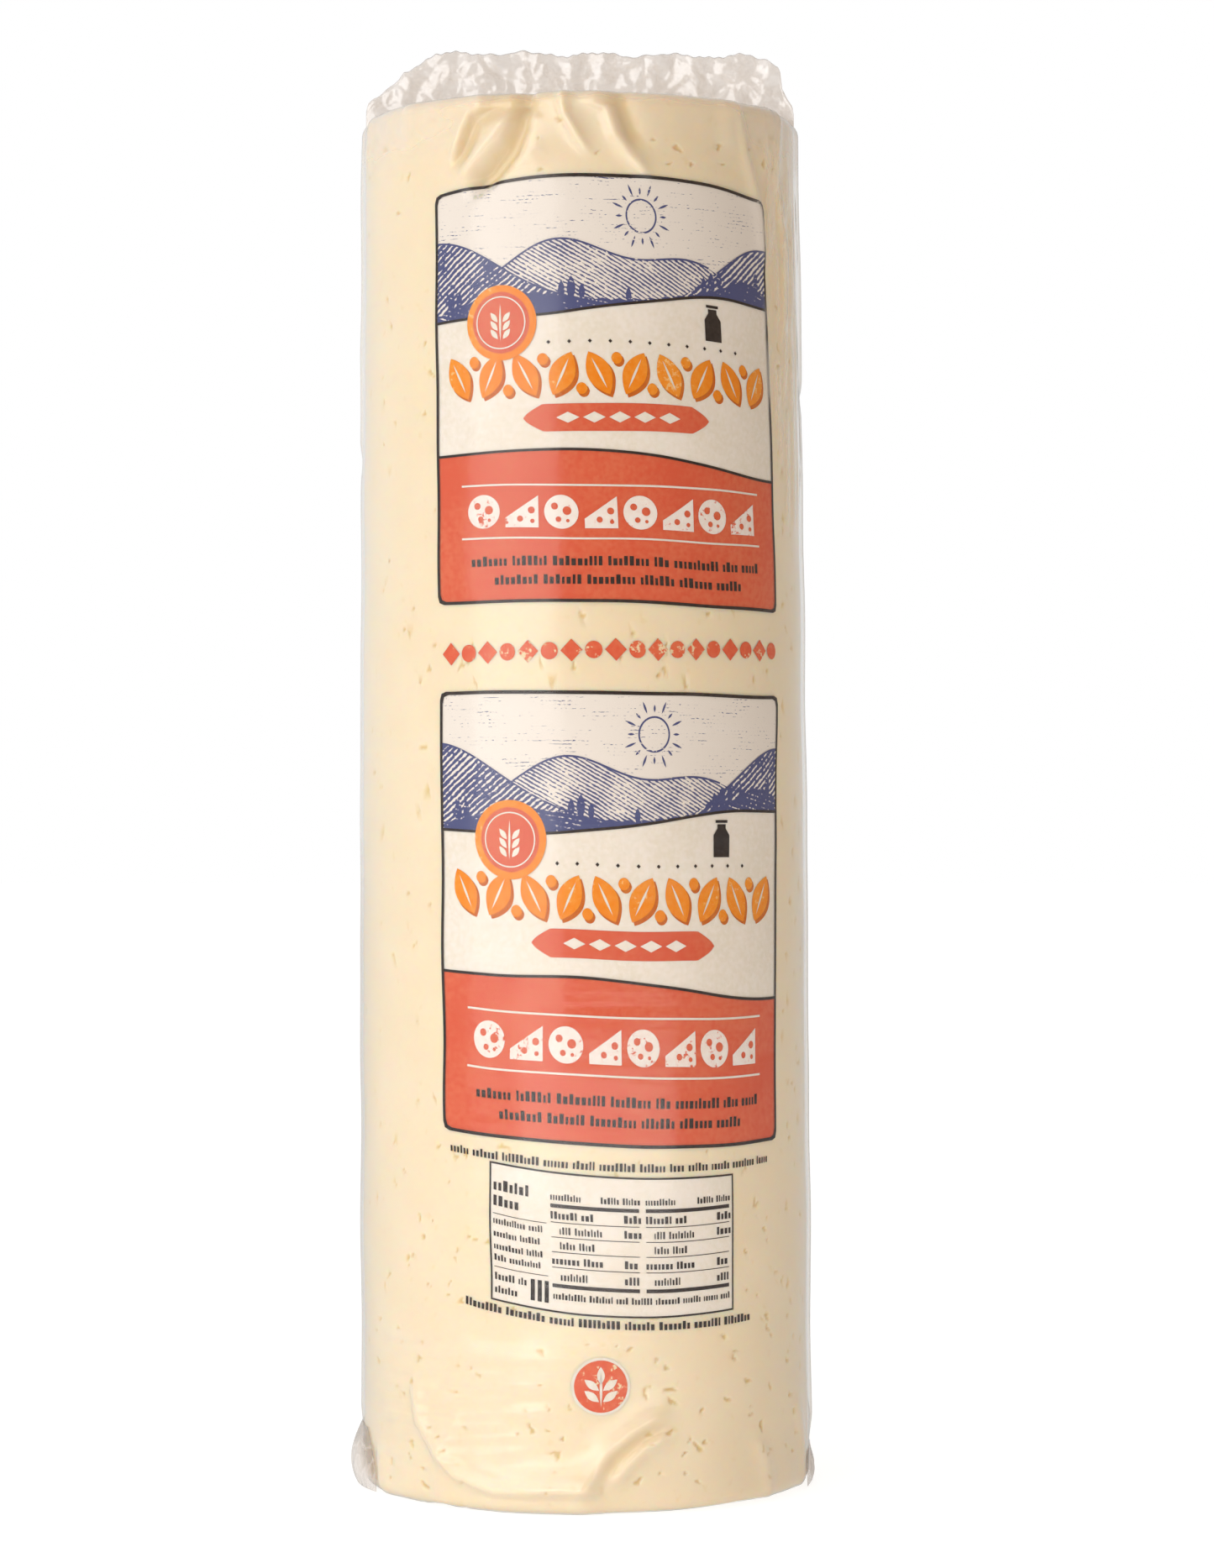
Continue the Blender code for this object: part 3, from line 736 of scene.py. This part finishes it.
for left, right in ((-7.2, 12.4), (13.9, 34.4)):
    rules += [(bar(left, 22.7, right, 23.5), 14, 1), (bar(left, 5.2, right, 6.0), 14, 1)]
    rules += [(bar(left, y, right, y + 0.17), 14, 1) for y in (19.5, 16.2, 12.9, 9.5)]
    rules += [small_print(left, left + 8.8, 24.3, 1.4, 70), small_print(right - 8.4, right, 24.3, 1.4, 71)]
    for i, y in enumerate((20.3, 17.0, 13.7, 10.3, 6.8)):
        indent = 0.0 if i in (0, 3) else 1.9
        rules += [small_print(left + indent, left + 9 + 2.5 * (i % 2), y, 1.6, 30 + i, 0.3 if i in (0, 3) else 0.2)]
        if i != 2:
            rules += [small_print(right - 3.4, right, y, 1.7, 40 + i, 0.34)]
rules += [small_print(-7, 34.6, 2.7, 1.4, 62)]
print_on_film("table_marks", 2, black_ink, rules, lay_table)
print_on_film("line_over_table", 2, black_ink, [small_print(-31.3, 47.8, 0, 1.8, 73)],
              lambda x, y: (x, 78.2 + y + hang(x, 8.2, 39.5, 1.8, 2.0)))
print_on_film("line_under_table", 2, black_ink, [small_print(-27.6, 42.5, 0, 1.8, 74, 0.3)],
              lambda x, y: (x, 44.0 + y + hang(x, 7.4, 35, 2.35, 2.7)))
SPRIG_X = 3.4
print_on_film("sprig_edge", 1, white_ink, [(ring(SPRIG_X, 28.8, 0.0, 6.4), 48, 4)])
print_on_film("sprig_round", 2, worn_red, [(ring(SPRIG_X, 28.8, 0.0, 5.8), 48, 4)])
sprig = [(leaf(SPRIG_X, 28.2, 7.8, 0.6, 90), 8, 1), (leaf(SPRIG_X, 31.2, 4.0, 1.7, 90), 10, 3)]
sprig += [(leaf(SPRIG_X + side * 2.0, 26.6 + 2.5 * k, 4.0, 1.7, 90 - side * 52), 10, 3)
          for side in (-1, 1) for k in (0, 1)]
print_on_film("sprig", 3, white_ink, sprig)

# The pouch: a clear tube of film, evacuated so that it clings to the cheese. It is tight and glassy nearly all
# over, and milky where it stands off, in faint bands near the foot and along both edges of the tube; the crests of
# its folds get a painted highlight in the same milky white.
RIDGE_HIGHLIGHT = 0.2
LIFTS = [  # stretches of slack film that the cheese doesn't follow: (height, half-width, milkiness, route)
    (0.9, 2.6, 0.42, ((-80, 316), (-80, 296), (-79, 262), (-80, 236))),
    (0.5, 1.8, 0.30, ((-80, 240), (-79.5, 150), (-80, 12))),
    (0.9, 2.4, 0.42, ((80, 316), (79.5, 290), (80, 250))),
    (0.7, 1.7, 0.36, ((80, 255), (80, 120), (79.5, 10))),
]


def slack_film():
    """More slack: bands across the front near the foot and fine upright wrinkles at the right near the head."""
    draw, made = Random(31), []
    pick = draw.uniform
    for i in range(14):
        z, left = 12 + 2.0 * i + pick(-1, 1), pick(-66, -34)
        right, drop = min(left + pick(24, 60), -6 if z > 18 else 14), pick(-1.5, 1.5)
        made.append((0.45, pick(1.3, 2.1), pick(0.08, 0.17),
                     ((left, z), ((left + right) / 2, z - 0.6), (right, z + drop))))
    for i in range(46):
        arc, top = pick(50, 79), 314 - 75 * draw.random() ** 1.4
        length, drift = pick(8, 34), pick(-4, 4)
        made.append((0.4, pick(0.35, 0.8), pick(0.2, 0.55),
                     ((arc, top), (arc + drift * 0.4, top - length / 2), (arc + drift, top - length))))
    for i in range(70):
        arc = 80 + pick(6, 150)
        arc -= ROUND_THE_LOG / MM if arc > ROUND_THE_LOG / MM / 2 else 0
        z = LOG_HEIGHT / MM - pick(0, 60) if i % 2 else pick(6, 50)
        length, drift = pick(8, 26), pick(-5, 5)
        made.append((0.3, pick(0.4, 1.0), pick(0.08, 0.3), ((arc, z), (arc + drift, z - length))))
    return made


def painted_ridge_highlight(arc, height):
    """Painted highlight: milky white on the crests of the film's folds, where the film clings to the cheese, more
    for higher folds.
    """
    return np.max([RIDGE_HIGHLIGHT * min(1.0, fold[0] / 0.8) * fold_strength(arc, height, fold)
                   for fold in FOLDS if fold[0] > 0], axis=0)


def head_pleats(x, y):
    away = ease(np.abs(y), 6 * MM, 24 * MM)
    fan = x / (1 + 0.012 * np.abs(y) / MM)
    wave = np.sin(math.tau * fan / (8.5 * MM) + np.copysign(1.3, y))
    slow = 0.6 + 0.4 * np.sin(math.tau * fan / (23 * MM))
    return 0.8 * MM * away * slow * np.maximum(0, wave)


def film_gloss(material, bumps, edge_on, face_on, roughness):
    """How much film mirrors, least where it faces the eye, and the gloss it mirrors with."""
    slant = add_node(material, "LayerWeight", {"Blend": 0.5, "Normal": bumps})
    grazing = add_node(material, "Math", {0: slant.outputs["Facing"], 1: 5.0}, operation="POWER")
    mirror = add_node(material, "Math", {0: grazing, 1: edge_on, 2: face_on}, operation="MULTIPLY_ADD")
    return mirror, add_node(material, "BsdfGlossy", {"Roughness": roughness, "Normal": bumps})


def caught_light(material, tint, glow_share, **relief):
    """The light that milky film catches between its faces: most of it comes back, and some glows through."""
    pale = add_node(material, "BsdfDiffuse", {"Color": tint, **relief})
    glow = add_node(material, "BsdfTranslucent", {"Color": tint})
    return add_node(material, "MixShader", {0: glow_share, 1: pale, 2: glow})


LIFTS += slack_film()
profile = log_profile(side_rows=198, end_rings=12, round_rows=6, crowding=0.72)
pouch, arc, share, inset, side_height, height = log_grid(
    "film_pouch", 250, 236, profile, 0.2, near_front_folds, cuts=1)
# The milk starts as the painted highlight on the folds' crests.
lift, milk = np.zeros(len(arc)), painted_ridge_highlight(arc, side_height)
veil = (0.12 + 0.42 * ease(np.abs(arc - 4 * MM), 22 * MM, 60 * MM)) * ease(side_height, 298 * MM, 311 * MM)
veil += 0.3 * ease(height, 312.8 * MM, 315.6 * MM)
milk = np.maximum(milk, veil * (1 + 0.5 * slow_noise(arc, side_height, 6 * MM, 12.0)))
for tall, wide, white, route in LIFTS:
    strength = fold_strength(arc, side_height, (tall, wide, route, ""), 1.5)
    lift = np.maximum(lift, tall * MM * strength)
    milk = np.maximum(milk, white * strength)
near_side = share == 1
flat_x = FOOT_RADIUS * share * np.sin(arc / ARC_RADIUS)
flat_y = -FOOT_RADIUS * share * np.cos(arc / ARC_RADIUS)
rise = head_pleats(flat_x, flat_y) * ease(1 - share, 0.02, 0.15)
points = log_skin(arc, share, inset, side_height, height, np.where(near_side, lift, 0.0), rise)
write_points(pouch, points)
pleat_milk = np.where(near_side, 0.0, 0.12 + 0.3 * rise / (0.8 * MM))
write_values(pouch, "milk", np.where(on_head(side_height), np.maximum(milk, pleat_milk), milk))
close_seams(pouch)

# Clear polyethylene and nylon film: it mirrors softly, hardly shows where it clings, and turns milky and pale
# where it stands off or lies double, because the light is caught between its faces.
film = new_material("clear pouch film")
where = add_node(film, "TexCoord", {}).outputs["Object"]
level = add_node(film, "Mapping", {"Vector": where, "Scale": (16.0, 16.0, 130.0)})
ripples = add_node(film, "TexNoise", {"Vector": level, "Scale": 1.0, "Detail": 3.0})
crinkles = add_node(film, "TexNoise", {"Vector": where, "Scale": 260.0, "Detail": 3.0})
uneven = add_node(film, "Math", {0: crinkles, 1: 0.25, 2: ripples}, operation="MULTIPLY_ADD")
bumps = add_node(film, "Bump", {"Height": uneven, "Strength": 0.5, "Distance": 0.5 * MM})
# The milk it reads is the film's milkiness together with the painted highlight on the folds' crests.
milk_and_ridge_highlight = add_node(film, "Attribute", {}, attribute_name="milk")
mirror, gloss = film_gloss(film, bumps, 0.9, 0.048, 0.2)
clear = add_node(film, "BsdfTransparent", {})
tight = add_node(film, "MixShader", {0: mirror, 1: clear, 2: gloss})
caught = caught_light(film, "#FFFAF3", 0.35)
slack = add_node(film, "MixShader", {0: mirror, 1: caught, 2: gloss})
skin = add_node(film, "MixShader", {0: milk_and_ridge_highlight.outputs["Fac"], 1: tight, 2: slack})
add_node(film, "OutputMaterial", {"Surface": skin})
pouch.data.materials.append(film)
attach(pouch, "root")

# The fin: the end of the tube, welded flat across the head and shrunk into ruffles. It is two films thick with
# air in its creases, so it is milky all over and glints on every little facet.
FIN_SIDE, FIN_TILT = 49.8 * MM, 0.008
FIN_OUTLINE = (  # (x, height over the head) in mm, from the left end to the right
    (-49.8, 2.6), (-49.4, 4.3), (-48.0, 6.0), (-44.9, 8.0), (-42.2, 10.0), (-41.0, 11.9), (-37.3, 14.0),
    (-33.6, 15.9), (-24.0, 16.3), (40.0, 16.0), (43.5, 15.2), (46.2, 13.9), (46.8, 12.4), (47.1, 8.4), (48.1, 6.4),
    (49.5, 4.2), (49.8, 2.2))
RUFFLE_LENGTH, RUFFLE_DEPTH = 9.5 * MM, 0.5 * MM
FIN_FLARE, FIN_FLARE_HEIGHT = 4.2 * MM, 1.9 * MM


def fin_base(x):
    over = np.maximum(0, np.abs(x) - (HEAD_RADIUS - HEAD_ROUND))
    return LOG_HEIGHT - HEAD_ROUND + np.sqrt(np.maximum(0, (HEAD_ROUND + 0.2 * MM) ** 2 - over**2))


def fin_top(x):
    rise = MM * np.interp(x / MM, *np.array(FIN_OUTLINE).T)
    full = ease(rise, 6 * MM, 15 * MM)
    slow = 0.45 * MM * np.sin(math.tau * x / (17 * MM))
    quick = 0.22 * MM * np.sin(math.tau * x / (7.3 * MM) + 1)
    nibble = 0.14 * MM * np.sin(math.tau * x / (2.9 * MM) + 3 * np.sin(x / (5 * MM)))
    return LOG_HEIGHT + rise + (slow - FIN_TILT * x) * full + quick + nibble


def fin_swing(x, share):
    phase = math.tau * x / RUFFLE_LENGTH + 1.4 * np.sin(math.tau * x / (41 * MM))
    swing = 0.7 + 0.3 * np.sin(math.tau * x / (23 * MM) + 2)
    ends = ease(FIN_SIDE - np.abs(x), 0, 7 * MM)
    return RUFFLE_DEPTH * (0.35 + 0.65 * share) * swing * ends * np.sin(phase)


def crumple(x, z, size, seed):
    """Creased film: flat facets between sharp folds, from -1 to 1."""
    return np.array([1 - 2.4 * abs(noise.noise(Vector((a / size, b / size, seed)))) for a, b in zip(x, z)])


fin = add_grid("film_fin_ruffled", 420, 96)
grid = read_points(fin)
x = FIN_SIDE * (2 * grid[:, 0] - 1)
around = grid[:, 1] * 2  # up the near face from 0 to 1, and down the far face from 1 to 2
share = (1 - np.abs(1 - around)) ** 1.25
face = np.where(around < 1, -1.0, 1.0)
base, top = fin_base(x), fin_top(x)
climb = (top - base) * share
ends = ease(FIN_SIDE - np.abs(x), -2 * MM, 8 * MM)
air = 0.22 * MM * (1 + crumple(x, climb + 7 * MM * face, 3.4 * MM, 2.0)) * ease(1 - share, 0.0, 0.12)
half = 0.1 * MM + air + FIN_FLARE * np.exp(-climb / FIN_FLARE_HEIGHT) * ends
half = half * np.where((around == 0) | (around == 2), 0.0, 1.0)
crease = 0.5 * MM * crumple(x, climb, 7.5 * MM, 5.0) + 0.12 * MM * crumple(x, climb, 3.6 * MM, 9.0)
depth = fin_swing(x, share) + crease * ease(climb, 0.5 * MM, 4 * MM) * ease(FIN_SIDE - np.abs(x), 0, 3 * MM)
write_points(fin, np.stack([x + HEAD_LEAN, depth + half * face, base + climb], axis=1))
write_values(fin, "milk", 0.46 - 0.12 * ease(share, 0.6, 1.0))
close_seams(fin)

# Welded film: the same clear film, but double, so it is milky, clearer in the small pockets of air between its
# creases, and it glints on every facet. Thin wandering lines make it whitest: partly the whiteness of creased film,
# partly painted glint.
weld = new_material("welded ruffled film")
where = add_node(weld, "TexCoord", {}).outputs["Object"]
cells = add_node(weld, "TexVoronoi", {"Vector": where, "Scale": 230.0})
puckers = add_node(weld, "TexNoise", {"Vector": where, "Scale": 260.0, "Detail": 1.0})
mixed = add_node(weld, "Math", {0: cells, 1: 0.9, 2: puckers}, operation="MULTIPLY_ADD")
bumps = add_node(weld, "Bump", {"Height": mixed, "Strength": 0.4, "Distance": 1.0 * MM})
soft_bumps = add_node(weld, "Bump", {"Height": mixed, "Strength": 0.08, "Distance": 1.0 * MM})
# Thin wandering lines of extra milk: partly creased film, partly painted glint.
veins = add_node(weld, "TexNoise", {"Vector": where, "Scale": 150.0, "Detail": 2.0})
beside_glint = add_node(weld, "Math", {0: veins, 1: 0.5}, operation="SUBTRACT")
glint_distance = add_node(weld, "Math", {0: beside_glint}, operation="ABSOLUTE")
painted_glint = add_node(weld, "MapRange", {
    "Value": glint_distance, "From Min": 0.0, "From Max": 0.06, "To Min": 0.2, "To Max": 0.0})
milk = add_node(weld, "Attribute", {}, attribute_name="milk")
clouds = add_node(weld, "TexNoise", {"Vector": where, "Scale": 150.0, "Detail": 3.0})
cloudy = add_node(weld, "MapRange", {
    "Value": clouds, "From Min": 0.3, "From Max": 0.7, "To Min": 0.9, "To Max": 1.1})
cover = add_node(weld, "Math", {0: milk.outputs["Fac"], 1: cloudy, 2: painted_glint}, operation="MULTIPLY_ADD")
mirror, gloss = film_gloss(weld, bumps, 0.5, 0.1, 0.1)
clear = add_node(weld, "BsdfTransparent", {"Color": "#FAF7F5"})
caught = caught_light(weld, "#FFFBF7", 0.3, Normal=soft_bumps)
body = add_node(weld, "MixShader", {0: cover, 1: clear, 2: caught})
skin = add_node(weld, "MixShader", {0: mirror, 1: body, 2: gloss})
add_node(weld, "OutputMaterial", {"Surface": skin})
fin.data.materials.append(weld)
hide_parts("film_fin")
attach(fin, "root")

# The ears: the tube's two corners at the foot, shrunk against the side as low, milky blisters of doubled film.
EARS = (("left", -80, 2.6, 14, 21, 0.85), ("right", 80, 1.0, 8, 13, 0.75))  # the loop names the values, in mm
for side, middle, bulge, top, reach, whiteness in EARS:
    blister = add_grid(f"film_ear_{side}_crinkled", 60, 48)
    grid = read_points(blister)
    across, up = 2 * grid[:, 0] - 1, grid[:, 1]
    arc = MM * (middle + reach * across * (1 - 0.4 * up**2))
    height = MM * (0.5 + (top - 0.5) * up)
    swell = np.sin(math.pi * (0.14 + 0.86 * up) ** 0.85) * np.cos(0.5 * math.pi * across) ** 0.75
    wrinkle = 0.1 * MM * crumple(arc, height, 4.5 * MM, 4.0) * swell
    write_points(blister, on_side(arc, height, 0.25 * MM + bulge * MM * swell + wrinkle))
    write_values(blister, "milk", whiteness * ease(swell, 0.0, 1.0))
    blister.modifiers.new("two films", "SOLIDIFY").thickness = 0.12 * MM
    bpy.ops.object.modifier_apply(modifier="two films")
    close_seams(blister)
    blister.data.materials.append(weld)
    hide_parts(f"film_ear_{side}")
    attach(blister, "root")

# The studio: a white table, a large soft light to the front left, a low card that lights the foot, white all
# round, and the camera level with the middle of the log, about a metre from it.
bpy.ops.object.select_all(action="DESELECT")
bpy.ops.mesh.primitive_plane_add(size=12, location=(0, 0, -0.0002))
table_top = bpy.context.object
table_top.name = "table_top"
paper = new_material("white table paper")
seen = add_node(paper, "LightPath", {}).outputs["Is Camera Ray"]
glow = add_node(paper, "Math", {0: seen, 1: 0.32, 2: 0.5}, operation="MULTIPLY_ADD")
lit = add_node(paper, "Emission", {"Color": "#FFFFFF", "Strength": glow})
matt = add_node(paper, "BsdfDiffuse", {"Color": (0.35, 0.35, 0.35, 1)})
both = add_node(paper, "AddShader", {0: lit, 1: matt})
add_node(paper, "OutputMaterial", {"Surface": both})
table_top.data.materials.append(paper)

scene = bpy.context.scene
scene.world = world = bpy.data.worlds.new("white studio")
world.use_nodes = True
world.node_tree.nodes.clear()
seen = add_node(world, "LightPath", {}).outputs["Is Camera Ray"]
way = add_node(world, "TexCoord", {}).outputs["Generated"]
behind = add_node(world, "VectorMath", {0: way, 1: (-0.16, 0.3, 0.0)}, operation="DOT_PRODUCT")
bright = add_node(world, "Math", {0: behind.outputs["Value"], 1: 0.61}, operation="ADD")
left_back = add_node(world, "VectorMath", {0: way, 1: (-0.7, 0.7, 0.0)}, operation="DOT_PRODUCT")
warmth = add_node(world, "MapRange", {"Value": left_back.outputs["Value"], "From Min": -0.9, "From Max": 0.2})
tint = add_node(world, "Mix", {0: warmth, MIX_A: "#FFDDB4", MIX_B: "#FFFFFF"}, data_type="RGBA")
walls = add_node(world, "Background", {"Color": tint.outputs[MIXED], "Strength": bright})
backdrop = add_node(world, "Background", {"Color": "#FFFFFF", "Strength": 1.0})
white = add_node(world, "MixShader", {0: seen, 1: walls, 2: backdrop})
add_node(world, "OutputWorld", {"Surface": white})


def soft_light(name, place, aim, wide, tall, power):
    data = bpy.data.lights.new(name, "AREA")
    data.shape, data.size, data.size_y, data.energy = "RECTANGLE", wide, tall, power
    light = bpy.data.objects.new(name, data)
    light.location = place
    light.rotation_euler = (Vector(aim) - Vector(place)).to_track_quat("-Z", "Y").to_euler()
    scene.collection.objects.link(light)


soft_light("key", (-0.80, -1.16, 0.6), (0, 0, 0.16), 1.3, 1.4, 12.5)
soft_light("low card", (0.03, -0.33, 0.05), (0, -0.05, 0.012), 0.5, 0.08, 0.28)

FOCAL_SHARE = 5108 / 1867  # the focal length as a share of the picture's height
camera = bpy.data.cameras.new("camera")
camera.sensor_width = 36
camera.lens = 36 * FOCAL_SHARE
camera_object = bpy.data.objects.new("camera", camera)
camera_object.location = (0.0048, -1.0, 0.162)
camera_object.rotation_euler = (math.pi / 2, 0, 0)
scene.collection.objects.link(camera_object)
scene.camera = camera_object
scene.view_settings.view_transform = "Standard"
